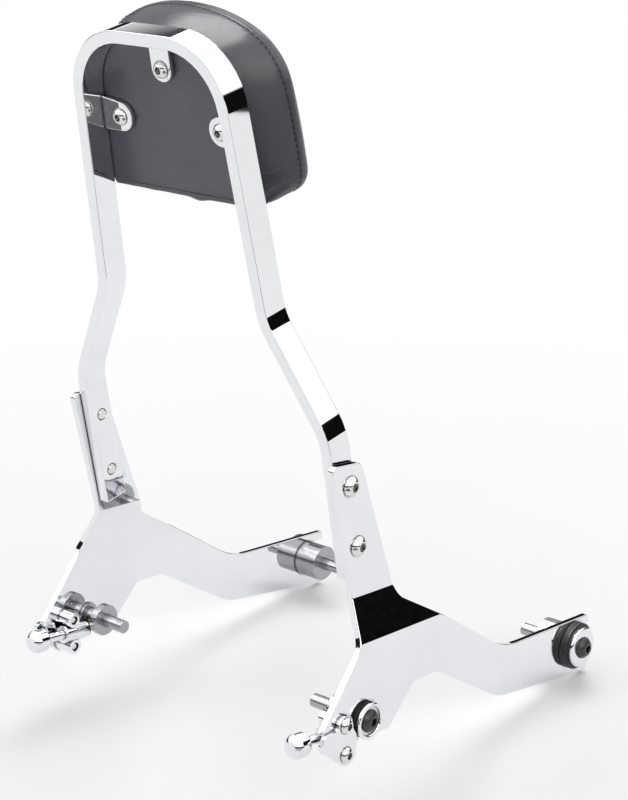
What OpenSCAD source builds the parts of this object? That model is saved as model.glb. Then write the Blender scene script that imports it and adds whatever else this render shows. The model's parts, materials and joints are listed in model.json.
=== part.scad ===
// Detachable motorcycle backrest: flat-bar hoop with a pad, bent side plates that
// dock on four fixed studs, and a spring pull pin on each side that locks the rear studs.
// +X is the vehicle's right side, +Y is forward and +Z is up.
// The origin is the middle of the rear docking axis.

/* [Hoop] */
// width of the flat bar, front to back
bar_w = 20; // [18:0.5:22]
// thickness of the flat bar
bar_thk = 9; // [8:0.25:9.5]
// rearward lean of the hoop, degrees
recline = 10.3; // [9.5:0.1:11]
// height of the hoop above its lower bends
hoop_h = 267; // [262:1:275]
// outer half width of the hoop at the top
top_half = 67.5; // [65:0.5:70]
// outer half width of the hoop at the upper bends
mid_half = 79.5; // [77:0.5:82]
// outer half width of the hoop between the parallel lower legs
leg_half = 121.5; // [120:0.5:123]
// height of the outward jog
jog_h = 78; // [74:1:82]
// outer radius of the arch corners
corner_r = 49.5; // [45:0.5:52]
// length of the parallel lower legs
leg_drop = 107.5; // [104:0.5:110]

/* [Pad] */
// height of the pad's crown above the arch
pad_rise = 8.2; // [7.5:0.1:11]
// depth of the pad from back to front
pad_depth = 46; // [42:1:50]
// thickness of the cover
cover_thk = 1.5; // [1.2:0.1:2]
// thickness of the board inside the pad
board_thk = 10; // [8:0.5:12]
// distance of the two side screws below the top of the arch
side_screw_drop = 66.5; // [64:0.1:69]
// half the distance between the two side screws
side_screw_x = 45.9; // [44:0.1:47]
// distance of the top screw below the top of the arch
top_screw_drop = 28.9; // [27:0.1:31]
// thickness of the three tabs welded to the hoop
tab_thk = 4; // [3:0.5:4]

/* [Side plates] */
// thickness of the side plates
plate_thk = 5; // [4.5:0.25:5.5]
// outward step of the lower panel from the upper tab
plate_step = 14.5; // [13:0.5:16]
// downward slope of the two bend lines towards the front, degrees
bend_slope = 4.8; // [4:0.2:5.5]
// distance of the upper plate screw below the lower bends
screw_v1 = 36.8; // [35:0.1:38]
// distance of the lower plate screw below the lower bends
screw_v2 = 83.1; // [82:0.1:85]

/* [Docking] */
// forward distance from the rear to the front docking axis
dock_run = 261; // [259:0.5:262]
// drop from the rear to the front docking axis
dock_drop = 35.5; // [35:0.25:37]
// diameter of the shanks that enter the vehicle's struts
shank_d = 10; // [8:1:12]
// length of those shanks
shank_l = 20; // [16:1:24]
// diameter of the rear stud where it sits in the plate's slot
rear_neck_d = 13.9; // [13:0.1:14.5]
// diameter of the front stud where it sits in the plate's slot
front_neck_d = 21.4; // [20:0.2:22]

/* [Latch] */
// diameter of the pull pin
pin_d = 7; // [6.6:0.1:7.2]
// distance the pull pin travels to release the rear stud
pin_travel = 9.5; // [9:0.25:10]
// diameter of the pull knob
knob_d = 17.5; // [16:0.5:19]
// downward tilt of the pull pin towards the front, degrees
latch_tilt = 7.5; // [6.5:0.25:8]

/* [Hidden] */
// radial gap of every bolt, stud neck and threaded end in its hole
fit_gap = 0.3;
// radial gap of the sliding pin in its guides
slide_gap = 0.05;
hoop_y = -15.7;
hoop_z = 202;
jog_r = 40;
leg_r = 55;
leg_tilt = atan((mid_half - top_half) / (hoop_h - jog_h));
pad_top = hoop_h + pad_rise;
side_screw_v = hoop_h - side_screw_drop;
top_screw_v = hoop_h - top_screw_drop;
crown_r = 125;
shoulder_r = 50;
flank_r = 400;
bottom_r = 17;
pad_low = pad_top - crown_r + (crown_r - shoulder_r) * sin(64) - (flank_r - shoulder_r) * sin(8);
back_in = 13;
back_share = 0.93;
back_drop = 2.5;
seam_edge = 22;
front_edge = 17;
front_in = 34;
board_in = 4;
insert_d = 9;
insert_head_d = 19;
top_tab_w = 17.4;
side_tab_r = 10.3;
side_tab_slope = 9;
side_tab_corner = 3;
xu = leg_half + plate_thk;
xl = xu + plate_step;
xi = xl - plate_thk;
wu = 86;
wl = 55.5;
plate_screw_d = 8;
small_screw_d = 6;
small_head_d = 12;
plate_head_d = 15;
stud_d = 11;
stud_x = xi - 15;
collar_l = 6;
front_spacer_d = 30;
rear_spacer_d = 24;
flange_d = 17.2;
flange_l = 2.2;
pin_z = stud_d / 2 + pin_d / 2 + 0.2;
pin_x = xi - 6.9;
barrel_d = 13.4;
barrel_front = 10.5;
barrel_back = 33;
spring_d = 10.6;
collar_d = 10;
collar_front = 13.5;
collar_back = 15.5;
spring_back = collar_back + pin_travel + 5;
pin_tip = pin_travel - stud_d / 2 - 0.5;
pin_back = 54;
knob_back = 66;
latch_thk = 3.5;
latch_y = -24.5;
latch_z1 = 5.5;
latch_z2 = -16.5;
rear_stack = 3.2;
front_stack = 8.2;

// unit vector, and a vector turned by an angle
function unit(a) = a / norm(a);
function turned(a, q) = [a[0] * cos(q) - a[1] * sin(q), a[0] * sin(q) + a[1] * cos(q)];
function dir(q) = [cos(q), sin(q)];

// signed turn of a path at its middle point
function turn(p0, p1, p2) =
  let (a = unit(p1 - p0), b = unit(p2 - p1)) atan2(a[0] * b[1] - a[1] * b[0], a * b);

// points of the rounded corner p1, shifted to the left of the path by d
function bend(p0, p1, p2, r, d, n) =
  let (
    q = turn(p0, p1, p2),
    a = unit(p1 - p0),
    s = sign(q),
    side = [-a[1], a[0]] * s,
    c = p1 - a * r * tan(abs(q) / 2) + side * r
  )
  [for (k = [0:n]) c + turned(-side * (r - s * d), q * k / n)];

// a path with rounded corners, shifted to its left by d
function shifted(p, r, d, n) =
  let (m = len(p) - 1, a = unit(p[1] - p[0]), b = unit(p[m] - p[m - 1]))
  concat(
    [p[0] + [-a[1], a[0]] * d],
    [for (i = [1:m - 1]) for (q = bend(p[i - 1], p[i], p[i + 1], r[i], d, n)) q],
    [p[m] + [-b[1], b[0]] * d]
  );

// a closed outline with rounded corners; each entry holds y, z and the corner radius
function rounded(v, n) =
  let (m = len(v))
  [for (i = [0:m - 1])
    let (
      p0 = [v[(i + m - 1) % m][0], v[(i + m - 1) % m][1]],
      p1 = [v[i][0], v[i][1]],
      p2 = [v[(i + 1) % m][0], v[(i + 1) % m][1]]
    )
    for (q = bend(p0, p1, p2, v[i][2], 0, n)) q];

function reversed(a) = [for (i = [len(a) - 1:-1:0]) a[i]];

// outline of the outer face of the hoop, from the left end over the arch to the right end
hoop_half = [[leg_half, -leg_drop], [leg_half, 0], [mid_half, jog_h], [top_half, hoop_h]];
hoop_path = concat([for (p = hoop_half) [-p[0], p[1]]], reversed(hoop_half));
hoop_radii = [0, leg_r, jog_r, corner_r, corner_r, jog_r, leg_r, 0];

// half outline of the pad from the crown to the bottom, drawn in by d
function pad_half(d) =
  let (
    c0 = [0, pad_top - crown_r],
    c1 = c0 + (crown_r - shoulder_r) * dir(64),
    c2 = c1 - (flank_r - shoulder_r) * dir(8),
    c3 = [c2[0] + flank_r - bottom_r, c2[1]]
  )
  concat(
    [for (k = [0:5]) c0 + (crown_r - d) * dir(90 - 26 * k / 5)],
    [for (k = [1:7]) c1 + (shoulder_r - d) * dir(64 - 56 * k / 7)],
    [for (k = [1:3]) c2 + (flank_r - d) * dir(8 - 8 * k / 3)],
    [for (k = [1:6]) c3 + max(bottom_r - d, 1) * dir(-90 * k / 6)]
  );
function pad_outline(d) =
  let (h = pad_half(d))
  concat(h, [for (i = [len(h) - 1:-1:1]) [-h[i][0], h[i][1]]]);

// outline of the pad's back, narrower than its front and as low as its bottom corners, drawn in by d
function back_outline(d) =
  let (stretch = (bottom_r + back_drop - d) / max(bottom_r - back_in - d, 1))
  [for (p = pad_outline(d + back_in)) [
    p[0] * back_share, p[1] < pad_low ? pad_low - (pad_low - p[1]) * stretch : p[1]
  ]];

// leaning frame of the hoop: x across, y forward from the rear face, z up the legs
module in_hoop() {
  translate([0, hoop_y, hoop_z]) rotate([recline, 0, 0]) children();
}

// a flat shape of x and height, extruded between two depths
module slab(y0, y1) {
  translate([0, y1, 0]) rotate([90, 0, 0]) linear_extrude(height = y1 - y0) children();
}

// a shape of y and z, extruded between two x values
module across(x0, x1) {
  translate([x0, 0, 0]) rotate([90, 0, 90]) linear_extrude(height = x1 - x0) children();
}

// a cylinder along x, y or the hoop's depth
module xcyl(d, x0, x1, y, z, n = 48) {
  translate([x0, y, z]) rotate([0, 90, 0]) cylinder(d = d, h = x1 - x0, $fn = n);
}
module ycyl(d, y0, y1, x = 0, z = 0, n = 48) {
  translate([x, y0, z]) rotate([-90, 0, 0]) cylinder(d = d, h = y1 - y0, $fn = n);
}

// right side as drawn, left side mirrored
module on_side(s) {
  mirror([s < 0 ? 1 : 0, 0, 0]) children();
}

// button-head screw along +z: the underside of the head is at z = 0, the shank goes down,
// and the dome runs from the rim of the head to a flat top round the hexagon socket
module button_screw(d, head_d, head_h, length, socket_share = 0.47) {
  rim = head_h * 0.2;
  top_r = head_d * 0.28;
  middle = (pow(top_r, 2) + pow(head_h, 2) - pow(head_d / 2, 2) - pow(rim, 2)) / (2 * (head_h - rim));
  r = sqrt(pow(head_d / 2, 2) + pow(rim - middle, 2));
  difference() {
    union() {
      intersection() {
        translate([0, 0, middle]) sphere(r = r, $fn = 96);
        cylinder(d = head_d, h = head_h, $fn = 64);
      }
      translate([0, 0, -length + 0.8]) cylinder(d = d, h = length - 0.8 + head_h * 0.3, $fn = 40);
      translate([0, 0, -length]) cylinder(d1 = d - 1.6, d2 = d, h = 0.8, $fn = 40);
    }
    translate([0, 0, head_h * 0.2]) cylinder(d = head_d * socket_share, h = head_h, $fn = 6);
  }
}

module hoop() {
  color([0.86, 0.87, 0.88]) difference() {
    in_hoop() slab(0, bar_w) polygon(concat(
      shifted(hoop_path, hoop_radii, 0, 10),
      reversed(shifted(hoop_path, hoop_radii, -bar_thk, 10))
    ));
    for (s = [-1, 1]) on_side(s) {
      in_hoop() for (v = [-screw_v1, -screw_v2])
        xcyl(plate_screw_d + 2 * fit_gap, leg_half - bar_thk - 1, leg_half + 1, bar_w / 2, v);
    }
  }
}

// tab welded under the arch for the pad's top screw
module top_tab() {
  color([0.86, 0.87, 0.88]) in_hoop() difference() {
    union() {
      slab(bar_w - tab_thk, bar_w) translate([-top_tab_w / 2, top_screw_v])
        square([top_tab_w, hoop_h - bar_thk - top_screw_v]);
      ycyl(top_tab_w, bar_w - tab_thk, bar_w, 0, top_screw_v);
    }
    ycyl(small_screw_d + 2 * fit_gap, bar_w - tab_thk - 1, bar_w + 1, 0, top_screw_v);
  }
}

// inner face of the right leg at a height, and where a line from p at the angle q meets it
function leg_in(v) = top_half + (hoop_h - v) * tan(leg_tilt) - bar_thk / cos(leg_tilt);
function to_leg(p, q) =
  let (
    t = tan(leg_tilt),
    x = (leg_in(p[1]) + t * p[0] * tan(q)) / (1 + t * tan(q))
  )
  [x, p[1] + (x - p[0]) * tan(q)];

// tab welded to the inner face of a leg for one of the pad's side screws
module side_tab(s) {
  c = [side_screw_x, side_screw_v];
  upper = c + side_tab_r * dir(90 + side_tab_slope);
  lower = c - [0, side_tab_r];
  corner = to_leg(lower + [0, side_tab_corner], 0) - [side_tab_corner, 0];
  color([0.86, 0.87, 0.88]) on_side(s) in_hoop() difference() {
    union() {
      slab(bar_w - tab_thk, bar_w) polygon(concat(
        [c, upper, to_leg(upper, side_tab_slope)],
        [for (a = [0:-15:-90]) corner + side_tab_corner * dir(a)],
        [lower]
      ));
      ycyl(2 * side_tab_r, bar_w - tab_thk, bar_w, c[0], c[1]);
    }
    ycyl(small_screw_d + 2 * fit_gap, bar_w - tab_thk - 1, bar_w + 1, c[0], c[1]);
  }
}

// position of the pad screws: 0 is the top one, -1 and 1 are the side ones
module at_pad_screw(i) {
  in_hoop() translate([
    i * side_screw_x, bar_w - tab_thk, i == 0 ? top_screw_v : side_screw_v
  ]) children();
}

module pad_screw(i) {
  color([0.78, 0.78, 0.77]) at_pad_screw(i) rotate([90, 0, 0])
    button_screw(small_screw_d, small_head_d, 3.4, tab_thk + cover_thk + board_thk);
}

// threaded insert with a flange on the front of the board
module pad_insert(i) {
  color([0.62, 0.62, 0.60]) at_pad_screw(i) difference() {
    union() {
      ycyl(insert_d, tab_thk + cover_thk + 1, tab_thk + cover_thk + board_thk + 0.5);
      ycyl(insert_head_d, tab_thk + cover_thk + board_thk, tab_thk + cover_thk + board_thk + 1.5);
    }
    ycyl(small_screw_d + 2 * fit_gap, 0, tab_thk + cover_thk + board_thk + 2);
  }
}

// closed cushion shape, drawn in by d on all sides
module cushion(d) {
  y1 = bar_w + pad_depth;
  hull() {
    slab(bar_w + d, bar_w + d + 0.2) polygon(back_outline(d));
    slab(y1 - seam_edge, y1 - front_edge) polygon(pad_outline(d));
    slab(y1 - 11.5, y1 - 11.3) polygon(pad_outline(d + 2.2));
    slab(y1 - 6, y1 - 5.8) polygon(pad_outline(d + 7));
    slab(y1 - 2 - d, y1 - 1.8 - d) polygon(pad_outline(d + 16));
    slab(y1 - d - 0.2, y1 - d) polygon(pad_outline(d + front_in));
  }
}

module pad_cover() {
  color([0.16, 0.15, 0.17]) difference() {
    in_hoop() cushion(0);
    in_hoop() cushion(cover_thk);
    for (i = [-1, 0, 1]) at_pad_screw(i)
      ycyl(small_screw_d + 2 * fit_gap, tab_thk - 1, tab_thk + cover_thk + 1, n = 32);
  }
}

// board under the back of the cushion, inside its edge
module board_shape(y0, y1) {
  slab(y0, y1) polygon(back_outline(board_in));
}

module pad_board() {
  color([0.62, 0.48, 0.32]) difference() {
    in_hoop() board_shape(bar_w + cover_thk, bar_w + cover_thk + board_thk);
    for (i = [-1, 0, 1]) at_pad_screw(i) {
      ycyl(insert_d + 2 * fit_gap, tab_thk + cover_thk + 1, tab_thk + cover_thk + board_thk + 1);
      ycyl(small_screw_d + 2 * fit_gap, 0, tab_thk + cover_thk + 2);
    }
  }
}

module pad_foam() {
  color([0.85, 0.80, 0.62]) difference() {
    in_hoop() cushion(cover_thk);
    in_hoop() board_shape(bar_w, bar_w + cover_thk + board_thk);
    for (i = [-1, 0, 1]) at_pad_screw(i)
      ycyl(insert_head_d + 1, tab_thk + cover_thk + board_thk - 1, tab_thk + cover_thk + board_thk + 3,
        n = 32);
  }
}

// side view of a side plate, with the slots for both studs
plate_outline = [
  [-19.2, 186, 4], [12.5, 181.8, 7], [50.9, 72.5, 14], [98, 42.7, 40], [167.2, -5.3, 80],
  [283.5, -17.3, 3], [283.5, -65.6, 3], [161.7, -44.2, 55], [83.3, 6, 18], [55.3, 8.5, 5],
  [27.5, -17.5, 4], [-7.5, -13.2, 1.5], [-46.6, 4.6, 3], [-4.4, 54, 38], [3.2, 87.3, 16]
];

module side_plate(s) {
  sheet = [[xu, hoop_z], [xu, wu], [xl, wl], [xl, -hoop_z]];
  run = dock_run + hoop_z;
  color([0.86, 0.87, 0.88]) on_side(s) difference() {
    intersection() {
      rotate([90 - bend_slope, 0, 0]) translate([0, 0, -run]) linear_extrude(height = 1.5 * run)
        polygon(concat(
          shifted(sheet, [0, 8, 8, 0], 0, 6),
          reversed(shifted(sheet, [0, 8, 8, 0], -plate_thk, 6))
        ));
      across(xu - 20, xl + 10) polygon(rounded(plate_outline, 8));
    }
    in_hoop() for (v = [-screw_v1, -screw_v2])
      xcyl(plate_screw_d + 2 * fit_gap, leg_half - 1, xu + 1, bar_w / 2, v);
    xcyl(rear_neck_d + 2 * fit_gap, xi - 1, xl + 1, 0, 0, 64);
    translate([xi - 1, -rear_neck_d / 2 - fit_gap, -40])
      cube([plate_thk + 2, rear_neck_d + 2 * fit_gap, 40]);
    xcyl(front_neck_d + 2 * fit_gap, xi - 1, xl + 1, dock_run, -dock_drop, 64);
    translate([xi - 1, dock_run, -dock_drop - front_neck_d / 2 - fit_gap])
      cube([plate_thk + 2, 60, front_neck_d + 2 * fit_gap]);
    xcyl(small_screw_d + 2 * fit_gap, xi - 1, xl + 1, latch_y, latch_z1);
  }
}

module plate_screw(s, v) {
  color([0.78, 0.78, 0.77]) on_side(s) in_hoop()
    translate([xu, bar_w / 2, v]) rotate([0, 90, 0])
      button_screw(plate_screw_d, plate_head_d, 4.4, plate_thk + bar_thk + 0.6);
}

// front stud: shank for the strut, spacer, and the neck that sits in the open slot
module front_stud(s) {
  color([0.55, 0.56, 0.57]) on_side(s) translate([0, dock_run, -dock_drop]) difference() {
    union() {
      xcyl(shank_d, stud_x - collar_l - shank_l, stud_x - collar_l, 0, 0);
      xcyl(front_spacer_d, stud_x - collar_l - 0.01, xi, 0, 0, 64);
      xcyl(front_neck_d, xi - 0.01, xl, 0, 0, 64);
    }
    xcyl(plate_screw_d + 2 * fit_gap, xi - 14, xl + 1, 0, 0);
  }
}

module front_bushing(s) {
  color([0.06, 0.06, 0.06]) on_side(s) translate([0, dock_run, -dock_drop])
    rotate([0, 90, 0]) translate([0, 0, xl]) rotate_extrude($fn = 96) polygon([
      [plate_screw_d / 2 + fit_gap, 0], [18.2, 0], [18.7, 0.5], [18.7, 2.6], [18.1, 3.2],
      [18.1, 3.8], [18.7, 4.4], [18.7, 5.8], [18.1, 6.4], [16.9, 6.4], [16.5, 6.8],
      [16.5, front_stack], [plate_screw_d / 2 + fit_gap, front_stack]
    ]);
}

module front_washer(s) {
  color([0.86, 0.87, 0.88]) on_side(s) translate([0, dock_run, -dock_drop])
    rotate([0, 90, 0]) translate([0, 0, xl + front_stack]) rotate_extrude($fn = 96) polygon([
      [plate_screw_d / 2 + fit_gap, 0], [16, 0], [16, 1.3], [15.1, 2.2],
      [plate_screw_d / 2 + fit_gap, 2.2]
    ]);
}

module front_bolt(s) {
  color([0.12, 0.12, 0.13]) on_side(s)
    translate([xl + front_stack + 2.2, dock_run, -dock_drop]) rotate([0, 90, 0])
      button_screw(plate_screw_d, 17, 4.8, front_stack + plate_thk + 12, 0.38);
}

// rear stud: shank, collar, slim part above the pull pin, flange, and neck in the slot
module rear_stud(s) {
  color([0.55, 0.56, 0.57]) on_side(s) difference() {
    union() {
      xcyl(shank_d, stud_x - collar_l - shank_l, stud_x - collar_l, 0, 0);
      xcyl(rear_spacer_d, stud_x - collar_l - 0.01, stud_x, 0, 0, 64);
      xcyl(stud_d, stud_x - 0.01, xi - flange_l, 0, 0, 64);
      xcyl(flange_d, xi - flange_l - 0.01, xi, 0, 0, 64);
      xcyl(rear_neck_d, xi - 0.01, xl, 0, 0, 64);
    }
    xcyl(small_screw_d + 2 * fit_gap, xi - 9, xl + 1, 0, 0);
  }
}

module rear_bushing(s) {
  color([0.06, 0.06, 0.06]) on_side(s)
    rotate([0, 90, 0]) translate([0, 0, xl]) rotate_extrude($fn = 96) polygon([
      [small_screw_d / 2 + fit_gap, 0], [13, 0], [13, 0.7], [12, 0.8], [12, 1.3], [13, 1.4],
      [13, 1.9], [12, 2], [12, 2.5], [13, 2.6], [13, rear_stack],
      [small_screw_d / 2 + fit_gap, rear_stack]
    ]);
}

// cupped ring around the head of the rear bolt
module rear_cup(s) {
  color([0.86, 0.87, 0.88]) on_side(s)
    rotate([0, 90, 0]) translate([0, 0, xl + rear_stack]) rotate_extrude($fn = 96) polygon([
      [small_screw_d / 2 + fit_gap, 0], [13, 0], [13.4, 0.4], [13.4, 1.8], [12.6, 2.6],
      [11.2, 2.6], [10.3, 1.7], [10.3, 0.8], [small_screw_d / 2 + fit_gap, 0.8]
    ]);
}

module rear_bolt(s) {
  color([0.12, 0.12, 0.13]) on_side(s)
    translate([xl + rear_stack + 0.8, 0, 0]) rotate([0, 90, 0])
      button_screw(small_screw_d, 16.5, 4.2, rear_stack + plate_thk + 6, 0.38);
}

latch_outline = [
  [-47.8, 4.8, 2.5], [-33, 4.8, 3], [-31.5, 12.5, 6.9], [-17.5, 12.5, 6.9], [-17.5, 2, 4], [-13.2, -5, 4],
  [-13.2, -35.4, 9], [-47.8, -7, 2.5]
];

module latch_bracket(s) {
  color([0.86, 0.87, 0.88]) on_side(s) difference() {
    across(xl, xl + latch_thk) polygon(rounded(latch_outline, 8));
    for (z = [latch_z1, latch_z2])
      xcyl(small_screw_d + 2 * fit_gap, xl - 1, xl + latch_thk + 1, latch_y, z);
  }
}

module latch_screw(s, z) {
  color([0.78, 0.78, 0.77]) on_side(s)
    translate([xl + latch_thk, latch_y, z]) rotate([0, 90, 0])
      button_screw(small_screw_d, small_head_d, 3.4, latch_thk + plate_thk + 10.5);
}

// frame of the pull pin: y runs forward along its axis
module in_latch() {
  translate([pin_x, 0, -pin_z]) rotate([-latch_tilt, 0, 0]) children();
}

// barrel for the pin and spring, with a boss for each bracket screw
module latch_housing(s) {
  color([0.80, 0.81, 0.82]) on_side(s) difference() {
    union() {
      in_latch() ycyl(barrel_d, -barrel_back, -barrel_front, n = 64);
      xcyl(12, xi - 12, xi, latch_y, latch_z1);
      xcyl(12, xi - 12, xl, latch_y, latch_z2);
    }
    in_latch() ycyl(pin_d + 2 * slide_gap, -barrel_back - 1, -collar_back);
    in_latch() ycyl(spring_d, -spring_back, -barrel_front + 1);
    for (z = [latch_z1, latch_z2])
      xcyl(small_screw_d + 2 * fit_gap, xi - 13, xl + 1, latch_y, z);
  }
}

module latch_guide(s) {
  color([0.72, 0.60, 0.34]) on_side(s) in_latch() difference() {
    union() {
      ycyl(spring_d - 2 * fit_gap, -collar_front, -barrel_front + 0.1);
      ycyl(barrel_d - 0.8, -barrel_front, -barrel_front + 1.5);
    }
    ycyl(pin_d + 2 * slide_gap, -collar_front - 1, -barrel_front + 3);
  }
}

// the coil's envelope between the rear wall of the housing and the collar of the pin
module latch_spring(s) {
  color([0.66, 0.67, 0.69]) on_side(s) in_latch() difference() {
    ycyl(spring_d - 0.8, -spring_back, -collar_back);
    ycyl(pin_d + 1, -spring_back - 1, -collar_front);
  }
}

module latch_pin(s) {
  color([0.86, 0.87, 0.88]) on_side(s) in_latch() union() {
    ycyl(pin_d, -pin_back, pin_tip - 1);
    translate([0, pin_tip - 1.01, 0]) rotate([-90, 0, 0])
      cylinder(d1 = pin_d, d2 = pin_d - 2, h = 1.01, $fn = 48);
    ycyl(collar_d, -collar_back, -collar_front);
  }
}

module latch_knob(s) {
  color([0.86, 0.87, 0.88]) on_side(s) in_latch() difference() {
    union() {
      ycyl(knob_d * 0.63, -pin_back + 1, -pin_back + 4);
      intersection() {
        translate([0, -knob_back + 8.5, 0]) sphere(d = knob_d + 1.5, $fn = 96);
        ycyl(knob_d, -knob_back, -pin_back + 2, n = 72);
      }
    }
    ycyl(pin_d + 2 * fit_gap, -pin_back, -pin_back + 5);
  }
}

hoop();
top_tab();
side_tab(-1);  // side_tab_left
side_tab(1);  // side_tab_right
pad_cover();
pad_foam();
pad_board();
pad_screw(0);  // pad_screw_top
pad_screw(-1);  // pad_screw_left
pad_screw(1);  // pad_screw_right
pad_insert(0);  // pad_insert_top
pad_insert(-1);  // pad_insert_left
pad_insert(1);  // pad_insert_right
side_plate(-1);  // side_plate_left
side_plate(1);  // side_plate_right
plate_screw(-1, -screw_v1);  // plate_screw_upper_left
plate_screw(1, -screw_v1);  // plate_screw_upper_right
plate_screw(-1, -screw_v2);  // plate_screw_lower_left
plate_screw(1, -screw_v2);  // plate_screw_lower_right
front_stud(-1);  // front_stud_left
front_stud(1);  // front_stud_right
front_bushing(-1);  // front_bushing_left
front_bushing(1);  // front_bushing_right
front_washer(-1);  // front_washer_left
front_washer(1);  // front_washer_right
front_bolt(-1);  // front_bolt_left
front_bolt(1);  // front_bolt_right
rear_stud(-1);  // rear_stud_left
rear_stud(1);  // rear_stud_right
rear_bushing(-1);  // rear_bushing_left
rear_bushing(1);  // rear_bushing_right
rear_cup(-1);  // rear_cup_left
rear_cup(1);  // rear_cup_right
rear_bolt(-1);  // rear_bolt_left
rear_bolt(1);  // rear_bolt_right
latch_bracket(-1);  // latch_bracket_left
latch_bracket(1);  // latch_bracket_right
latch_housing(-1);  // latch_housing_left
latch_housing(1);  // latch_housing_right
latch_guide(-1);  // latch_guide_left
latch_guide(1);  // latch_guide_right
latch_spring(-1);  // latch_spring_left
latch_spring(1);  // latch_spring_right
latch_pin(-1);  // latch_pin_left
latch_pin(1);  // latch_pin_right
latch_knob(-1);  // latch_knob_left
latch_knob(1);  // latch_knob_right
latch_screw(-1, latch_z1);  // latch_screw_upper_left
latch_screw(1, latch_z1);  // latch_screw_upper_right
latch_screw(-1, latch_z2);  // latch_screw_lower_left
latch_screw(1, latch_z2);  // latch_screw_lower_right
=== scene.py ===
"""Looks of a detachable motorcycle backrest: polished hoop and plates with a padded vinyl back."""
import json
import math

import bpy
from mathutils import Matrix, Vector, noise


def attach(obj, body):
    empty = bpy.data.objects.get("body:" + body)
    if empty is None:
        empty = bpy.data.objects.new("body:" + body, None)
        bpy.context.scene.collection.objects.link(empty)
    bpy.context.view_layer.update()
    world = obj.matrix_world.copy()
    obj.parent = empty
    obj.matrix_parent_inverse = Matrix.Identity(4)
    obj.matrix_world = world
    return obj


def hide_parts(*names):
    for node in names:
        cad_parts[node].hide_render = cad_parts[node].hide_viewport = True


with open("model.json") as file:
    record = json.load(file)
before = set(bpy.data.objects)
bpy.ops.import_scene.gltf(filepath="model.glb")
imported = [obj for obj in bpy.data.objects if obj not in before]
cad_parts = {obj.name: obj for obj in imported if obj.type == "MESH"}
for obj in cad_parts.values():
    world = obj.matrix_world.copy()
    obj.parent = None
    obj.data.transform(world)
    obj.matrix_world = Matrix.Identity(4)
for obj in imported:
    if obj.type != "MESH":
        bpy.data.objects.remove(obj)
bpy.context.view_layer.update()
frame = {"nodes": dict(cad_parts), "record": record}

MM = 0.001

# Camera, fitted to the photograph.
AZIMUTH = math.radians(40.3166)
ELEVATION = math.radians(17.9165)
CAMERA_AT = (0.92141, -0.97416, 0.63523)
LENS_MM = 90.0
SENSOR_MM = 36.0
FARTHEST = 60.0


def make_camera():
    back = Vector((
        math.sin(AZIMUTH) * math.cos(ELEVATION),
        -math.cos(AZIMUTH) * math.cos(ELEVATION),
        math.sin(ELEVATION),
    ))
    data = bpy.data.cameras.new("camera")
    data.lens = LENS_MM
    data.sensor_width = SENSOR_MM
    data.clip_end = FARTHEST
    camera = bpy.data.objects.new("camera", data)
    camera.location = CAMERA_AT
    camera.rotation_euler = (-back).to_track_quat("-Z", "Y").to_euler()
    bpy.context.scene.collection.objects.link(camera)
    bpy.context.scene.camera = camera


make_camera()


class Nodes:
    """A node tree with short calls for adding nodes and linking them."""

    def __init__(self, tree):
        self.tree = tree

    def add(self, kind, inputs=None, **settings):
        node = self.tree.nodes.new(kind)
        for key, value in settings.items():
            setattr(node, key, value)
        for key, value in (inputs or {}).items():
            if isinstance(value, bpy.types.NodeSocket):
                self.tree.links.new(value, node.inputs[key])
            else:
                node.inputs[key].default_value = value
        return node

    def noise(self, vector, scale, detail=2.0, rough=0.5):
        node = self.add("ShaderNodeTexNoise", {
            "Vector": vector, "Scale": scale, "Detail": detail, "Roughness": rough,
        })
        return node.outputs["Fac"]

    def spread(self, value, low, high, out_low, out_high):
        """Maps low..high to out_low..out_high and holds the ends."""
        node = self.add("ShaderNodeMapRange", {
            "Value": value, "From Min": low, "From Max": high,
            "To Min": out_low, "To Max": out_high,
        })
        return node.outputs["Result"]

    def math(self, kind, a, b):
        return self.add("ShaderNodeMath", {0: a, 1: b}, operation=kind).outputs[0]

    def mix(self, fac, a, b):
        """Colour a where fac is 0 and b where it is 1."""
        node = self.add("ShaderNodeMix", {"Factor": fac}, data_type="RGBA")
        for socket, value in ((node.inputs[6], a), (node.inputs[7], b)):
            if isinstance(value, bpy.types.NodeSocket):
                self.tree.links.new(value, socket)
            else:
                socket.default_value = (*value, 1.0)
        return node.outputs[2]

    def bump(self, height, strength, distance, normal=None):
        inputs = {"Height": height, "Strength": strength, "Distance": distance}
        if normal is not None:
            inputs["Normal"] = normal
        return self.add("ShaderNodeBump", inputs).outputs["Normal"]


def start_material(name):
    mat = bpy.data.materials.new(name)
    mat.use_nodes = True
    n = Nodes(mat.node_tree)
    shader = mat.node_tree.nodes["Principled BSDF"]
    place = n.add("ShaderNodeTexCoord").outputs["Object"]
    return mat, n, shader, place


def put(n, shader, **values):
    """Sets the shader's sockets, by a plain value or a link."""
    for key, value in values.items():
        socket = shader.inputs[key.replace("_", " ")]
        if isinstance(value, bpy.types.NodeSocket):
            n.tree.links.new(value, socket)
        elif key.endswith("Color") or key.endswith("Tint"):
            socket.default_value = (*value, 1.0)
        else:
            socket.default_value = value


# Stage: a studio world, pale paper, two dark cards and four lamps.
# Each world stop is a height from the horizon (0) to overhead (1) and its brightness.
WORLD_STOPS = (
    (0.0, 0.95), (0.03, 0.95), (0.05, 0.012), (0.27, 0.012), (0.30, 1.2), (0.62, 1.2), (1.0, 1.1),
)
WORLD_BLUE = 1.01
WORLD_DIFFUSE_LEVEL = 0.62
PATCH_TOWARDS = (-0.6156, 0.5706, 0.5438)
PATCH_CORE = math.cos(math.radians(10.0))
PATCH_RIM = math.cos(math.radians(15.0))
PATCH_COLOUR = (0.085, 0.083, 0.088)
WHITE = (1, 1, 1, 1)

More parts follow.
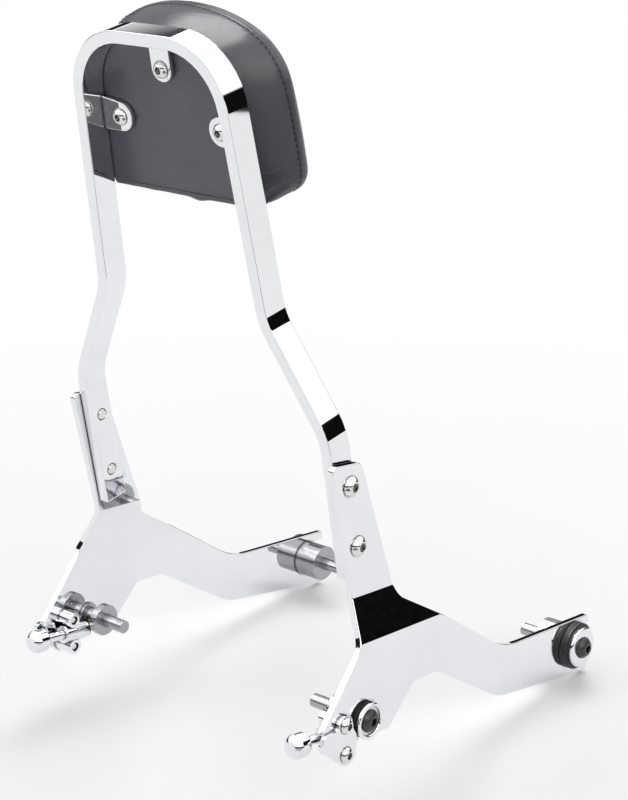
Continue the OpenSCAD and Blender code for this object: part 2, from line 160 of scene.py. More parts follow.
FLOOR_Z = -0.0672
FLOOR_RADIUS = 16.0
FLOOR_SIDES = 64
FADE_FROM = (0.0, 0.1, FLOOR_Z)
FADE_START = 0.25
FADE_END = 1.1
FLOOR_GLOSSY_LEVEL = 0.93

CARD_TOWARDS = Vector((0.68, 0.733, 0.0))
CARD_ALONG = Vector((-0.733, 0.68, 0.0))
CARD_DISTANCE = 2.3
CARD_HALF = 1.15
CARD_LOW = 0.24
CARD_HIGH = 1.05
BLACK_LEVEL = 0.004
FLOOR_CARD = ((0.20, -0.42), (0.95, -1.30), (1.45, -0.85), (0.50, -0.12))
FLOOR_CARD_RISE = 0.004
FLOOR_CARD_LEVEL = 0.16


def make_world():
    """Soft boxes with a dark band above the horizon and one dark patch; the camera sees plain white."""
    world = bpy.data.worlds.new("studio")
    bpy.context.scene.world = world
    world.use_nodes = True
    world.node_tree.nodes.clear()
    n = Nodes(world.node_tree)
    ray = n.add("ShaderNodeTexCoord").outputs["Generated"]
    height = n.add("ShaderNodeSeparateXYZ", {0: ray}).outputs["Z"]
    ramp = n.add("ShaderNodeValToRGB", {"Fac": height})
    elements = ramp.color_ramp.elements
    while len(elements) < len(WORLD_STOPS):
        elements.new(0.5)
    for element, (at, level) in zip(elements, WORLD_STOPS):
        element.position = at
        element.color = (level, level, level * WORLD_BLUE, 1.0)
    towards = n.add("ShaderNodeVectorMath", {0: ray, 1: PATCH_TOWARDS}, operation="DOT_PRODUCT")
    patch = n.spread(towards.outputs["Value"], PATCH_RIM, PATCH_CORE, 0.0, 1.0)
    colour = n.mix(patch, ramp.outputs["Color"], PATCH_COLOUR)
    path = n.add("ShaderNodeLightPath")
    strength = n.spread(path.outputs["Is Glossy Ray"], 0.0, 1.0, WORLD_DIFFUSE_LEVEL, 1.0)
    studio = n.add("ShaderNodeBackground", {"Color": colour, "Strength": strength})
    white = n.add("ShaderNodeBackground", {"Color": WHITE, "Strength": 1.0})
    camera = path.outputs["Is Camera Ray"]
    both = n.add("ShaderNodeMixShader", {0: camera, 1: studio.outputs[0], 2: white.outputs[0]})
    n.add("ShaderNodeOutputWorld", {"Surface": both.outputs[0]})


def make_floor():
    """Pale paper under the object; far from it the camera and the chrome see it as plain white."""
    mesh = bpy.data.meshes.new("floor")
    turns = [math.tau * k / FLOOR_SIDES for k in range(FLOOR_SIDES)]
    points = [(FLOOR_RADIUS * math.cos(a), FLOOR_RADIUS * math.sin(a), FLOOR_Z) for a in turns]
    mesh.from_pydata(points, [], [tuple(range(FLOOR_SIDES))])
    floor = bpy.data.objects.new("floor", mesh)
    bpy.context.scene.collection.objects.link(floor)
    mat, n, shader, place = start_material("floor_paper")
    tone = n.spread(n.noise(place, 3.0, 3.0), 0.3, 0.7, 0.93, 0.96)
    colour = n.add("ShaderNodeCombineColor", {0: tone, 1: tone, 2: tone}).outputs[0]
    put(n, shader, Base_Color=colour, Roughness=0.9, Specular_IOR_Level=0.1)
    away = n.add("ShaderNodeVectorMath", {0: place, 1: FADE_FROM}, operation="DISTANCE")
    far = n.spread(away.outputs["Value"], FADE_START, FADE_END, 0.0, 1.0)
    light = n.add("ShaderNodeLightPath")
    seen = n.math("MAXIMUM", light.outputs["Is Camera Ray"], light.outputs["Is Glossy Ray"])
    level = n.spread(light.outputs["Is Camera Ray"], 0.0, 1.0, FLOOR_GLOSSY_LEVEL, 1.0)
    white = n.add("ShaderNodeEmission", {"Color": WHITE, "Strength": level}).outputs[0]
    both = n.add("ShaderNodeMixShader", {
        0: n.math("MULTIPLY", far, seen), 1: shader.outputs[0], 2: white,
    }).outputs[0]
    n.tree.links.new(both, mat.node_tree.nodes["Material Output"].inputs["Surface"])
    mesh.materials.append(mat)


def make_flag(name, corners, level):
    """A dark card beside the set that no camera sees and that draws dark lines in the chrome."""
    mesh = bpy.data.meshes.new(name)
    mesh.from_pydata(corners, [], [(0, 1, 2, 3)])
    flag = bpy.data.objects.new(name, mesh)
    bpy.context.scene.collection.objects.link(flag)
    mesh.materials.append(dull(name + "_cloth", (level, level, level), 0.9, 300.0, 0.2, 0.0))
    flag.visible_camera = False
    flag.visible_diffuse = False
    flag.visible_shadow = False


def make_flags():
    """A card standing at the front right, and one on the floor before the set."""
    centre, half = CARD_TOWARDS * CARD_DISTANCE, CARD_ALONG * CARD_HALF
    left, right = centre - half, centre + half
    make_flag("flag_standing", [
        (left.x, left.y, CARD_LOW), (right.x, right.y, CARD_LOW),
        (right.x, right.y, CARD_HIGH), (left.x, left.y, CARD_HIGH),
    ], BLACK_LEVEL)
    make_flag("flag_floor", [(x, y, FLOOR_Z + FLOOR_CARD_RISE) for x, y in FLOOR_CARD], FLOOR_CARD_LEVEL)


def make_lamp(name, at, aim, size, power):
    data = bpy.data.lights.new(name, "AREA")
    data.shape = "SQUARE"
    data.size = size
    data.energy = power
    lamp = bpy.data.objects.new(name, data)
    lamp.location = at
    lamp.rotation_euler = (Vector(aim) - Vector(at)).to_track_quat("-Z", "Y").to_euler()
    bpy.context.scene.collection.objects.link(lamp)
    return lamp


# Materials. Noise scales are per metre, and bump distances are in metres.
METAL_TINT = 0.05
# The next two set the painted shade and dirt in hollows: how far it reaches, and the share of the colour
# left there.
SHADE_AND_DIRT_REACH = 0.004
SHADE_AND_DIRT_SHARE = 0.10


def metal(name, colour, rough, ripple=0.05, grain=0.0):
    """A metal with faint smudges, slow ripples of the polish, painted shade and dirt in its hollows and, if
    wanted, a grain.
    """
    mat, n, shader, place = start_material(name)
    smudge = n.noise(place, 22.0, 4.0, 0.6)
    fine = n.noise(place, 160.0, 3.0, 0.6)
    both = n.math("ADD", n.math("MULTIPLY", smudge, 0.7), n.math("MULTIPLY", fine, 0.3))
    dark = tuple(c * (1.0 - METAL_TINT) for c in colour)
    normal = n.bump(n.noise(place, 26.0, 1.0), ripple, 0.0006)
    if grain:
        normal = n.bump(n.noise(place, 1400.0, 2.0), grain, 0.0001, normal)
    finish = n.mix(n.spread(both, 0.35, 0.65, 0.0, 1.0), dark, colour)
    # Painted shade and dirt: ambient occlusion darkens the colour in hollows and where parts meet.
    open_air = n.add("ShaderNodeAmbientOcclusion", {"Distance": SHADE_AND_DIRT_REACH}, samples=8).outputs["AO"]
    hollow_shade_and_dirt = tuple(c * SHADE_AND_DIRT_SHARE for c in colour)
    put(
        n, shader,
        Base_Color=n.mix(n.spread(open_air, 0.30, 0.80, 0.0, 1.0), hollow_shade_and_dirt, finish),
        Metallic=1.0,
        Roughness=n.spread(both, 0.3, 0.7, rough * 0.7, rough * 1.3),
        Normal=normal,
    )
    return mat


def dull(name, colour, rough, grain_scale, grain, specular=0.5):
    """A plastic, rubber, cloth or painted face with a fine grain and worn, paler patches."""
    mat, n, shader, place = start_material(name)
    patch = n.noise(place, 90.0, 4.0, 0.65)
    pale = tuple(c * 1.6 + 0.006 for c in colour)
    put(
        n, shader,
        Base_Color=n.mix(n.spread(patch, 0.45, 0.75, 0.0, 1.0), colour, pale),
        Roughness=n.spread(patch, 0.3, 0.7, rough * 0.85, rough * 1.15),
        Specular_IOR_Level=specular,
        Normal=n.bump(n.noise(place, grain_scale, 3.0), grain, 0.0002),
    )
    return mat


def vinyl(name, colour, rough):
    """Upholstery vinyl: smooth with faint streaks on the back; where the grain layer is 1 it is rougher and
    has a painted sheen.

    The warp moves the grain's cells by far more than their width, so they show as a fine mottle.
    """
    mat, n, shader, place = start_material(name)
    mask = n.add("ShaderNodeAttribute", attribute_name="grain").outputs["Fac"]
    warp = n.add("ShaderNodeTexNoise", {"Vector": place, "Scale": 260.0, "Detail": 2.0}).outputs["Color"]
    shifted = n.add("ShaderNodeVectorMath", {0: warp, 1: warp, 2: place}, operation="MULTIPLY_ADD")
    cells = n.add(
        "ShaderNodeTexVoronoi", {"Vector": shifted.outputs[0], "Scale": 270.0}, feature="DISTANCE_TO_EDGE",
    ).outputs["Distance"]
    pebble = n.spread(cells, 0.0, 0.30, 0.0, 1.0)
    fine = n.noise(place, 1500.0, 2.0)
    level = n.math("SUBTRACT", pebble, 0.75)
    grain = n.math("ADD", n.math("MULTIPLY", level, mask), n.math("MULTIPLY", fine, 0.3))
    streak_place = n.add("ShaderNodeMapping", {"Vector": place, "Scale": (55.0, 200.0, 620.0)}).outputs[0]
    streaks = n.noise(streak_place, 1.0, 3.0, 0.6)
    slow = n.noise(place, 30.0, 3.0, 0.55)
    cloth_marks = n.math("MULTIPLY", n.math("SUBTRACT", streaks, 0.5), n.math("SUBTRACT", 1.0, mask))
    normal = n.bump(slow, 0.25, 0.0012)
    normal = n.bump(cloth_marks, 0.3, 0.0006, normal)
    normal = n.bump(grain, 1.0, 0.0007, normal)
    tone = n.math("ADD", n.math("MULTIPLY", slow, 0.6), n.math("MULTIPLY", streaks, 0.4))
    dark = tuple(c * 0.84 for c in colour)
    light = tuple(c * 1.16 for c in colour)
    back = n.mix(n.spread(tone, 0.35, 0.65, 0.0, 1.0), dark, light)
    # The wall's colour holds painted light and shade: painted highlights on the raised grain, painted shade
    # in its creases, and a painted sheen that makes it lighter overall than the back.
    crease_shade = tuple(c * 0.70 for c in colour)
    raised_highlight = tuple(c * 2.2 for c in colour)
    wall = n.mix(n.math("MULTIPLY", pebble, n.spread(slow, 0.2, 0.8, 0.7, 1.0)), crease_shade, raised_highlight)
    put(
        n, shader,
        Base_Color=n.mix(mask, back, wall),
        Roughness=n.spread(pebble, 0.0, 1.0, rough * 1.15, rough),
        Specular_IOR_Level=0.5,
        Sheen_Weight=0.16,
        Sheen_Roughness=0.45,
        Sheen_Tint=(0.75, 0.8, 1.0),
        Coat_Weight=0.45,
        Coat_Roughness=0.24,
        Normal=normal,
    )
    return mat


def wood(name, colour):
    """Plywood with a grain along x."""
    mat, n, shader, place = start_material(name)
    along = n.add("ShaderNodeMapping", {"Vector": place, "Scale": (10.0, 180.0, 180.0)}).outputs[0]
    ring = n.noise(along, 2.0, 4.0, 0.6)
    dark = tuple(c * 0.6 for c in colour)
    put(n, shader, Base_Color=n.mix(n.spread(ring, 0.3, 0.7, 0.0, 1.0), dark, colour), Roughness=0.7)
    return mat


MATERIALS = {
    "chrome": metal("chrome_plate", (0.88, 0.89, 0.91), 0.03, 0.03),
    "stainless": metal("stainless_polish", (0.80, 0.79, 0.77), 0.08, 0.05, 0.05),
    "vinyl": vinyl("charcoal_vinyl", (0.056, 0.053, 0.070), 0.36),
    "foam": dull("moulded_foam", (0.70, 0.62, 0.40), 0.9, 900.0, 0.6),
    "board": wood("plywood", (0.45, 0.29, 0.14)),
    "insert_steel": metal("insert_zinc", (0.50, 0.50, 0.48), 0.3, 0.05, 0.3),
    "black_rubber": dull("bushing_rubber", (0.012, 0.012, 0.013), 0.45, 900.0, 0.25),
    "black_bolts": dull("black_oxide", (0.014, 0.014, 0.016), 0.32, 700.0, 0.15, 0.7),
    "stud_steel": metal("turned_steel", (0.42, 0.43, 0.44), 0.22, 0.05, 0.25),
    "guide_brass": metal("turned_brass", (0.62, 0.44, 0.16), 0.22, 0.05, 0.2),
    "spring_steel": metal("spring_wire", (0.45, 0.46, 0.47), 0.28, 0.05, 0.3),
}

make_world()
make_floor()
make_flags()
make_lamp("key", (-0.70, 1.45, 2.35), (0, 0.0, 0.4), 1.5, 22.0)
make_lamp("side", (2.2, -0.9, 1.5), (0, 0.0, 0.4), 1.5, 12.0)
shine = make_lamp("shine", (-0.55, -0.35, 2.60), (0, 0.0, 0.45), 1.6, 130.0)
shine.visible_diffuse = False
make_lamp("fill", (-1.9, -1.8, 2.2), (0, 0.05, 0.2), 1.6, 9.0)
bpy.context.scene.view_settings.view_transform = "Standard"


# Finish of the CAD nodes. Edge radii are in mm, by the first word of the node's name.
EDGE_WIDTH = {"hoop": 0.8, "side": 0.7, "top": 0.6, "latch": 0.3}
OTHER_EDGES = 0.25
EDGE_SEGMENTS = 3
SHARP_EDGE = math.radians(38)
SMOOTH_UNDER = math.radians(30)
FLAT_UNDER = math.radians(0.4)
WELD_DISTANCE = 2e-6


def smoothing_tree():
    """Smooth shading with sharp edges where faces meet at more than SMOOTH_UNDER."""
    tree = bpy.data.node_groups.new("smooth_by_angle", "GeometryNodeTree")
    tree.interface.new_socket("Geometry", in_out="INPUT", socket_type="NodeSocketGeometry")
    tree.interface.new_socket("Geometry", in_out="OUTPUT", socket_type="NodeSocketGeometry")
    n = Nodes(tree)
    start = n.add("NodeGroupInput").outputs[0]
    plain = n.add("GeometryNodeRemoveAttribute", {"Geometry": start, "Name": "custom_normal"})
    faces = n.add("GeometryNodeSetShadeSmooth", {"Geometry": plain.outputs[0]}, domain="FACE")
    angle = n.add("GeometryNodeInputMeshEdgeAngle").outputs["Unsigned Angle"]
    sharp = n.add("FunctionNodeCompare", {0: angle, 1: SMOOTH_UNDER}, operation="GREATER_THAN")
    edges = n.add("GeometryNodeSetShadeSmooth", {
        "Geometry": faces.outputs[0], "Selection": sharp.outputs[0], "Shade Smooth": False,
    }, domain="EDGE")
    n.add("NodeGroupOutput", {0: edges.outputs[0]})
    return tree


SMOOTH = smoothing_tree()


def dress(node, obj, slot):
    """Gives a CAD node its finish, welded corners, a small edge radius and smooth curves."""
    mat = MATERIALS[slot]
    if not obj.material_slots:
        obj.data.materials.append(mat)
    for place in obj.material_slots:
        place.material = mat
    weld = obj.modifiers.new("weld", "WELD")
    weld.merge_threshold = WELD_DISTANCE
    flat = obj.modifiers.new("flat", "DECIMATE")
    flat.decimate_type = "DISSOLVE"
    flat.angle_limit = FLAT_UNDER
    edge = obj.modifiers.new("edge", "BEVEL")
    edge.width = EDGE_WIDTH.get(node.split("_")[0], OTHER_EDGES) * MM
    edge.segments = EDGE_SEGMENTS
    edge.limit_method = "ANGLE"
    edge.angle_limit = SHARP_EDGE
    edge.use_clamp_overlap = False
    smooth = obj.modifiers.new("smooth", "NODES")
    smooth.node_group = SMOOTH
    faces = obj.modifiers.new("flat_faces", "WEIGHTED_NORMAL")
    faces.mode = "FACE_AREA_WITH_ANGLE"
    faces.keep_sharp = True


SLOT_OF = {part["node"]: part["material_slot"] for part in frame["record"]["subparts"]}
for node, obj in frame["nodes"].items():
    dress(node, obj, SLOT_OF[node])


# The pad. Lengths are in mm in the hoop's leaning frame: x across, s forward, v up the legs.
# Its outline is four arcs: crown, shoulder, flank and lower corner.
RECLINE = math.radians(10.3)
HOOP_AT = Vector((0.0, -15.7, 202.0))
BAR_W = 20.0
PAD_TOP = 275.2
PAD_MIDDLE = 66.0
CROWN_R = 125.0
SHOULDER_R = 50.0
FLANK_R = 400.0
CORNER_R = 17.0
SHOULDER_ANGLE = 64
FLANK_ANGLE = 8
ARC_STEPS = 24
CORNER_STEPS = 16
BOTTOM_STEPS = 16
LEAST_R = 0.6
COLUMNS = 168
PAD_LOW = (
    PAD_TOP - CROWN_R + (CROWN_R - SHOULDER_R) * math.sin(math.radians(SHOULDER_ANGLE))
    - (FLANK_R - SHOULDER_R) * math.sin(math.radians(FLANK_ANGLE))
)

# The wall slants in from the seam towards the back, and hangs lower there.
SEAM_DEPTH = 25.0
WALL_CURVE = 1.4
BACK_NARROWER = 0.07
SEAM_DROP = 15.8
BACK_DROP = 3.6
WALL_SLANT = 11.8
WALL_INSET = 1.2
EDGE_ROUND = 1.2
EDGE_ROUND_REACH = 0.8

# Rings: shares of the way out from the back's middle, depths of the wall, depths and insets of
# the front's shoulder, and shares of the way in to the front's middle.
BACK_INSET = 14.2
BACK_GAP = 0.1
BACK_SHARES = (0.06, 0.14, 0.24, 0.34, 0.44, 0.54, 0.64, 0.73, 0.82, 0.9, 0.96)
WALL_DEPTHS = (0.1, 0.7, 2.0, 4.0, 6.8, 10.0, 13.5, 17.0, 20.5, 23.4, SEAM_DEPTH)
FRONT_DEPTH = 44.0
FRONT_INSET = 21.0
FRONT_RISE = 1.2
FRONT_STEPS = (
    (26.6, 0.9), (29.0, 0.7), (31.5, 1.0), (34.0, 2.0), (36.6, 4.0),
    (39.0, 7.0), (41.0, 10.8), (42.8, 15.5), (FRONT_DEPTH, FRONT_INSET),
)
FRONT_SHARES = (0.92, 0.84, 0.75, 0.66, 0.56, 0.46, 0.36, 0.26, 0.15, 0.06)
FIRST_WALL_RING = len(BACK_SHARES)
SEAM_RING = FIRST_WALL_RING + len(WALL_DEPTHS) - 1
LAST_RING = float(SEAM_RING + len(FRONT_STEPS) + len(FRONT_SHARES))


def placed(x, s, v):
    """Metres in the part's frame for a point of the leaning frame."""
    c, q = math.cos(RECLINE), math.sin(RECLINE)
    return Vector((x, HOOP_AT.y + c * s - q * v, HOOP_AT.z + q * s + c * v)) * MM


def ring_at(points, depth):
    """Places outline points at a depth in front of the hoop."""
    return [placed(p.x, BAR_W + depth, p.y) for p in points]


def towards(angle):
    return Vector((math.cos(math.radians(angle)), math.sin(math.radians(angle))))


def pad_loop(inset):
    """Closed outline of the pad, from the crown to the right and round, at equal steps."""
    crown = Vector((0.0, PAD_TOP - CROWN_R))
    shoulder = crown + towards(SHOULDER_ANGLE) * (CROWN_R - SHOULDER_R)
    flank = shoulder - towards(FLANK_ANGLE) * (FLANK_R - SHOULDER_R)
    corner = flank + Vector((FLANK_R - CORNER_R, 0.0))
    half = []
    for centre, radius, a0, a1, steps in (
        (crown, CROWN_R, 90, SHOULDER_ANGLE, ARC_STEPS),
        (shoulder, SHOULDER_R, SHOULDER_ANGLE, FLANK_ANGLE, ARC_STEPS),
        (flank, FLANK_R, FLANK_ANGLE, 0, ARC_STEPS),
        (corner, CORNER_R, 0, -90, CORNER_STEPS),
    ):
        for k in range(steps + 1):
            half.append(centre + towards(a0 + (a1 - a0) * k / steps) * max(radius - inset, LEAST_R))
    bottom = half[-1]
    half += [Vector((bottom.x * (1 - k / BOTTOM_STEPS), bottom.y)) for k in range(1, BOTTOM_STEPS + 1)]
    loop = half + [Vector((-p.x, p.y)) for p in reversed(half[:-1])]
    length = [0.0]
    for a, b in zip(loop, loop[1:]):
        length.append(length[-1] + (b - a).length)
    out, j = [], 0
    for k in range(COLUMNS):
        want = length[-1] * k / COLUMNS
        while length[j + 1] < want:
            j += 1
        span = length[j + 1] - length[j]
        out.append(loop[j].lerp(loop[j + 1], (want - length[j]) / span if span else 0.0))
    return out


def outline(depth, inset):
    """Outline at a depth: narrow at the back, where it also hangs low, and full at the seam."""
    back = max(1.0 - depth / SEAM_DEPTH, 0.0)
    share = 1.0 - BACK_NARROWER * back ** WALL_CURVE
    reach = (SEAM_DROP + BACK_DROP * back) / (CORNER_R - inset) if depth < SEAM_DEPTH else 1.0
    return [
        Vector((p.x * share, PAD_LOW - (PAD_LOW - p.y) * reach if p.y < PAD_LOW else p.y))
        for p in pad_loop(inset)
    ]


def pad_rings():
    """Rings of the cushion from the middle of its back over the side wall to the middle of its front."""
    centre = Vector((0.0, PAD_TOP - PAD_MIDDLE))
    back, front = outline(0.0, BACK_INSET), outline(FRONT_DEPTH, FRONT_INSET)
    rings = [ring_at([centre.lerp(p, share) for p in back], BACK_GAP) for share in BACK_SHARES]
    for depth in WALL_DEPTHS:
        slant = WALL_SLANT * max(1.0 - depth / SEAM_DEPTH, 0.0) ** WALL_CURVE
        slant += EDGE_ROUND * math.exp(-depth / EDGE_ROUND_REACH)
        rings.append(ring_at(outline(depth, WALL_INSET + slant), depth))
    for depth, inset in FRONT_STEPS:
        rings.append(ring_at(outline(depth, inset), depth))
    for share in FRONT_SHARES:
        depth = FRONT_DEPTH + FRONT_RISE * (1.0 - share ** 2)
        rings.append(ring_at([centre.lerp(p, share) for p in front], depth))
    return rings


def ring_mesh(name, rings):
    """A closed object over rings of equal length, with a flat cap at each end."""
    count = len(rings[0])
    verts = [tuple(p) for ring in rings for p in ring]
    faces = []
    for i in range(len(rings) - 1):
        for k in range(count):
            a, b = i * count + k, i * count + (k + 1) % count
            faces.append((a, b, b + count, a + count))
    faces.append(tuple(reversed(range(count))))
    faces.append(tuple((len(rings) - 1) * count + k for k in range(count)))
    mesh = bpy.data.meshes.new(name)
    mesh.from_pydata(verts, [], faces)
    mesh.update()
    obj = bpy.data.objects.new(name, mesh)
    bpy.context.scene.collection.objects.link(obj)
    return obj


# The simulation holds the back and the seam. The front moves as one, so that it can't crease.
SIM_FRAMES = 20
SEAM_HOLD = 0.9
SWELL_LIMIT = 2.6 * MM
FRONT_FREE_RING = SEAM_RING + 8
EVEN_RINGS = 5.0


def simulate(rings):
    """Points of the rings after the cover is blown up from inside, ring by ring in one list."""
    obj = ring_mesh("pad_start", rings)
    count = len(rings[0])
    group = obj.vertex_groups.new(name="held")
    for i in range(len(rings)):
        weight = 1.0 if i <= FIRST_WALL_RING + 1 else SEAM_HOLD if i == SEAM_RING else 0.0
        if weight:
            group.add([i * count + k for k in range(count)], weight, "REPLACE")
    cloth = obj.modifiers.new("cloth", "CLOTH")
    settings = cloth.settings
    settings.quality = 6
    settings.mass = 0.3
    settings.tension_stiffness = 18
    settings.compression_stiffness = 18
    settings.shear_stiffness = 8
    settings.bending_stiffness = 2.5
    settings.use_pressure = True
    settings.uniform_pressure_force = 4.0
    settings.effector_weights.gravity = 0.0
    settings.vertex_group_mass = "held"
    cloth.point_cache.frame_start = 1
    cloth.point_cache.frame_end = SIM_FRAMES
    scene = bpy.context.scene
    for step in range(1, SIM_FRAMES + 1):
        scene.frame_set(step)
    graph = bpy.context.evaluated_depsgraph_get()
    shaped = obj.evaluated_get(graph).to_mesh()
    points = [v.co.copy() for v in shaped.vertices]
    obj.evaluated_get(graph).to_mesh_clear()
    scene.frame_set(1)
    bpy.data.objects.remove(obj)
    return points


def swell(rings):
    """Moves the rings as the simulation does, within SWELL_LIMIT and evenly over the front."""
    points = simulate(rings)
    count = len(rings[0])
    crown = [
        points[i * count + k] - p
        for i, ring in enumerate(rings) if i > FRONT_FREE_RING
        for k, p in enumerate(ring)
    ]
    push = sum(crown, Vector()) / len(crown)
    out = []
    for i, ring in enumerate(rings):
        even = min(max((i - SEAM_RING) / EVEN_RINGS, 0.0), 1.0)
        row = []
        for k, p in enumerate(ring):
            move = (points[i * count + k] - p).lerp(push, even)
            if move.length > SWELL_LIMIT:
                move *= SWELL_LIMIT / move.length
            row.append(p + move)
        out.append(row)
    return out


# Finer rows of the cover, at real ring indices.
FINER = 2
SEAM_BAND = 1.3
EDGE_BAND = (9.5, 15.0)
SEAM_STEP = 0.16
EDGE_STEP = 0.34
PLAIN_STEP = 0.5


def spline(values, t):
    """Catmull-Rom value of a list at a real index."""
    i = min(max(int(t), 0), len(values) - 2)
    f = t - i
    p0, p1 = values[max(i - 1, 0)], values[i]
    p2, p3 = values[i + 1], values[min(i + 2, len(values) - 1)]
    return 0.5 * (
        (2 * p1) + (p2 - p0) * f + (2 * p0 - 5 * p1 + 4 * p2 - p3) * f * f
        + (3 * p1 - p0 - 3 * p2 + p3) * f ** 3
    )


def refine(rings, places):
    """Finer rings at the given real ring indices, with more columns."""
    count = len(rings[0])
    columns = [[ring[k] for ring in rings] for k in range(count)]
    rows = []
    for t in places:
        coarse = [spline(column, t) for column in columns]
        wrapped = coarse[-2:] + coarse + coarse[:3]
        rows.append([spline(wrapped, 2 + k / FINER) for k in range(count * FINER)])
    return rows


def stations():
    """Ring indices, close together at the seam and at the back edge."""
    out = [0.0]
    while out[-1] < LAST_RING:
        t = out[-1]
        near_seam = abs(t - SEAM_RING) < SEAM_BAND
        near_edge = EDGE_BAND[0] < t < EDGE_BAND[1]
        out.append(min(t + (SEAM_STEP if near_seam else EDGE_STEP if near_edge else PLAIN_STEP), LAST_RING))
    return out


def normal_at(rows, i, k):
    count = len(rows[0])
    along = rows[i][(k + 1) % count] - rows[i][k - 1]
    across = rows[min(i + 1, len(rows) - 1)][k] - rows[max(i - 1, 0)][k]
    return along.cross(across).normalized()


def bell(x, width):
    return math.exp(-(x / width) ** 2)


# Sewing. Depths are in mm, widths across the cover in rings, places round it as a share of a turn.
SEAM_PRESS = -0.4
SEAM_WIDTH = 0.3
PUCKER = 0.12
PUCKERS = 96
PUCKER_WIDTH = 1.4
WAVES_FROM = 12.5
WAVES_OVER = 3.0
FOLD_TURNS = (0.335, 0.665)
FOLD_REACH = 0.022
FOLD_RING = 15.5
FOLD_WIDTH = 2.6
FOLD_DEPTH = 0.8
FOLD_RATE = 460.0
FOLD_LEAN = 1.2


def sew(rows, ts):
    """Presses the seam in, and adds the soft folds that the stretched cover shows."""
    count = len(rows[0])
    out = []
    for i, (row, t) in enumerate(zip(rows, ts)):
        new = []
        for k, p in enumerate(row):
            n = normal_at(rows, i, k)
            turn = k / count
            depth = SEAM_PRESS * bell(t - SEAM_RING, SEAM_WIDTH)
            pucker = PUCKER * math.sin(math.tau * turn * PUCKERS) * bell(t - SEAM_RING, PUCKER_WIDTH)
            wall = min(max((t - WAVES_FROM) / WAVES_OVER, 0.0), 1.0)
            slow = 0.5 * noise.noise(p * 26.0) + 0.22 * noise.noise(p * 70.0)
            folds = 0.0
            for at in FOLD_TURNS:
                near = bell(turn - at, FOLD_REACH) * bell(t - FOLD_RING, FOLD_WIDTH)
                folds += FOLD_DEPTH * near * math.sin((turn - at) * FOLD_RATE + FOLD_LEAN * t)
            new.append(p + n * (depth + pucker + wall * slow + folds) * MM)
        out.append(new)
    return out


# Where the grain layer starts, and with it the wall's painted sheen, and over how many rings it rises.
GRAIN_AND_SHEEN_FROM = 12.0
GRAIN_AND_SHEEN_OVER = 2.5


def shade_smooth(mesh):
    for face in mesh.polygons:
        face.use_smooth = True


def make_pad():
    """The cover as one closed shell; its grain layer, which also brings in the wall's painted sheen, is 0
    on the back and 1 from the wall on.
    """
    rings = pad_rings()
    rings = swell(rings)
    ts = stations()
    rows = sew(refine(rings, ts), ts)
    pad = ring_mesh("pad_vinyl", rows)
    count = len(rows[0])
    layer = pad.data.attributes.new("grain", "FLOAT", "POINT")
    for i, t in enumerate(ts):
        value = min(max((t - GRAIN_AND_SHEEN_FROM) / GRAIN_AND_SHEEN_OVER, 0.0), 1.0)
        for k in range(count):
            layer.data[i * count + k].value = value
    shade_smooth(pad.data)
    pad.data.materials.append(MATERIALS["vinyl"])
    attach(pad, "frame")
    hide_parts("pad_cover", "pad_foam")
    return rows, ts


# Stitches: a row of short capsules just behind the seam, sizes in mm.
STITCH_BEHIND = 0.32
STITCH_PITCH = 4.2
STITCH_HALF = 1.35
STITCH_SIDE = 0.75
STITCH_THICK = 0.35
STITCH_RISE = 0.22
STITCH_DIP = 0.25
STITCH_SIDES = 6
STITCH_RUNGS = 5


def add_stitch(verts, faces, at, up, along):
    """Adds one capsule with rounded ends that dip into the cover."""
    side = up.cross(along).normalized()
    start = len(verts)
    for r in range(STITCH_RUNGS):
        u = r / (STITCH_RUNGS - 1) * 2 - 1
        width = math.sqrt(max(1 - 0.93 * u ** 4, 0.02))
        for q in range(STITCH_SIDES):
            a = math.tau * q / STITCH_SIDES
            high = math.sin(a) * STITCH_THICK + STITCH_RISE - STITCH_DIP * u * u
            offset = side * math.cos(a) * STITCH_SIDE + up * high
            verts.append(at + (along * u * STITCH_HALF + offset * width) * MM)
    for r in range(STITCH_RUNGS - 1):
        for q in range(STITCH_SIDES):
            a, b = start + r * STITCH_SIDES + q, start + r * STITCH_SIDES + (q + 1) % STITCH_SIDES
            faces.append((a, b, b + STITCH_SIDES, a + STITCH_SIDES))
    last = start + (STITCH_RUNGS - 1) * STITCH_SIDES
    faces.append(tuple(start + q for q in reversed(range(STITCH_SIDES))))
    faces.append(tuple(last + q for q in range(STITCH_SIDES)))


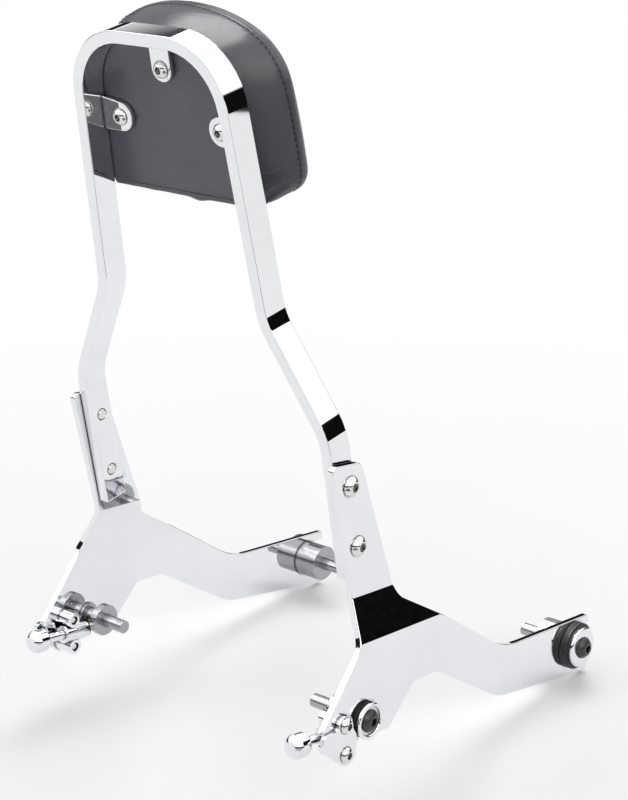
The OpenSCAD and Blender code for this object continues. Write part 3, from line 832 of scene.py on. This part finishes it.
def make_stitches(rows, ts):
    """Thread along the seam, one short capsule per stitch."""
    row = min(range(len(ts)), key=lambda i: abs(ts[i] - (SEAM_RING - STITCH_BEHIND)))
    loop = rows[row]
    count = len(loop)
    length = [0.0]
    for k in range(count):
        length.append(length[-1] + (loop[(k + 1) % count] - loop[k]).length)
    total = length[-1]
    number = int(total / (STITCH_PITCH * MM))
    verts, faces = [], []
    for j in range(number):
        want = total * (j + 0.5) / number
        k = max(i for i in range(count) if length[i] <= want)
        f = (want - length[k]) / max(length[k + 1] - length[k], 1e-9)
        at = loop[k].lerp(loop[(k + 1) % count], f)
        along = (loop[(k + 1) % count] - loop[k]).normalized()
        add_stitch(verts, faces, at, normal_at(rows, row, k), along)
    mesh = bpy.data.meshes.new("pad_stitches")
    mesh.from_pydata([tuple(v) for v in verts], [], faces)
    shade_smooth(mesh)
    mesh.materials.append(dull("thread", (0.008, 0.008, 0.009), 0.6, 2600.0, 0.5))
    stitches = bpy.data.objects.new("pad_stitches", mesh)
    bpy.context.scene.collection.objects.link(stitches)
    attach(stitches, "frame")


# Hem: sizes in mm in the leaning frame.
HEM_HALF = 57.0
HEM_STEPS = 72
HEM_SIDES = 12
HEM_AT = 150.9
HEM_HIGH = 1.5
HEM_OUT = 0.75
HEM_GAP = 0.25
LUMP_AT = 14.0
LUMP_REACH = 7.0


def make_hem():
    """The folded lower edge of the cover, a thin roll along the back with one thicker overlap."""
    rings = []
    for i in range(HEM_STEPS + 1):
        x = -HEM_HALF + 2 * HEM_HALF * i / HEM_STEPS
        lump = bell(x - LUMP_AT, LUMP_REACH)
        end = math.sqrt(max(1.0 - (abs(x) / (HEM_HALF + 0.4)) ** 8, 0.02))
        wave = 0.25 * noise.noise(Vector((x * 0.09, 3.1, 0.0)))
        middle = HEM_AT + wave - 0.9 * lump
        ring = []
        for k in range(HEM_SIDES):
            a = math.tau * k / HEM_SIDES
            high = (HEM_HIGH + 0.7 * lump) * end * math.sin(a)
            out = (HEM_OUT + 0.35 * lump) * end * math.cos(a)
            ring.append(placed(x, BAR_W - HEM_GAP - 0.25 * lump - out, middle + high))
        rings.append(ring)
    hem = ring_mesh("pad_hem", rings)
    shade_smooth(hem.data)
    hem.data.materials.append(MATERIALS["vinyl"])
    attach(hem, "frame")


pad_rows, pad_stations = make_pad()
make_stitches(pad_rows, pad_stations)
make_hem()
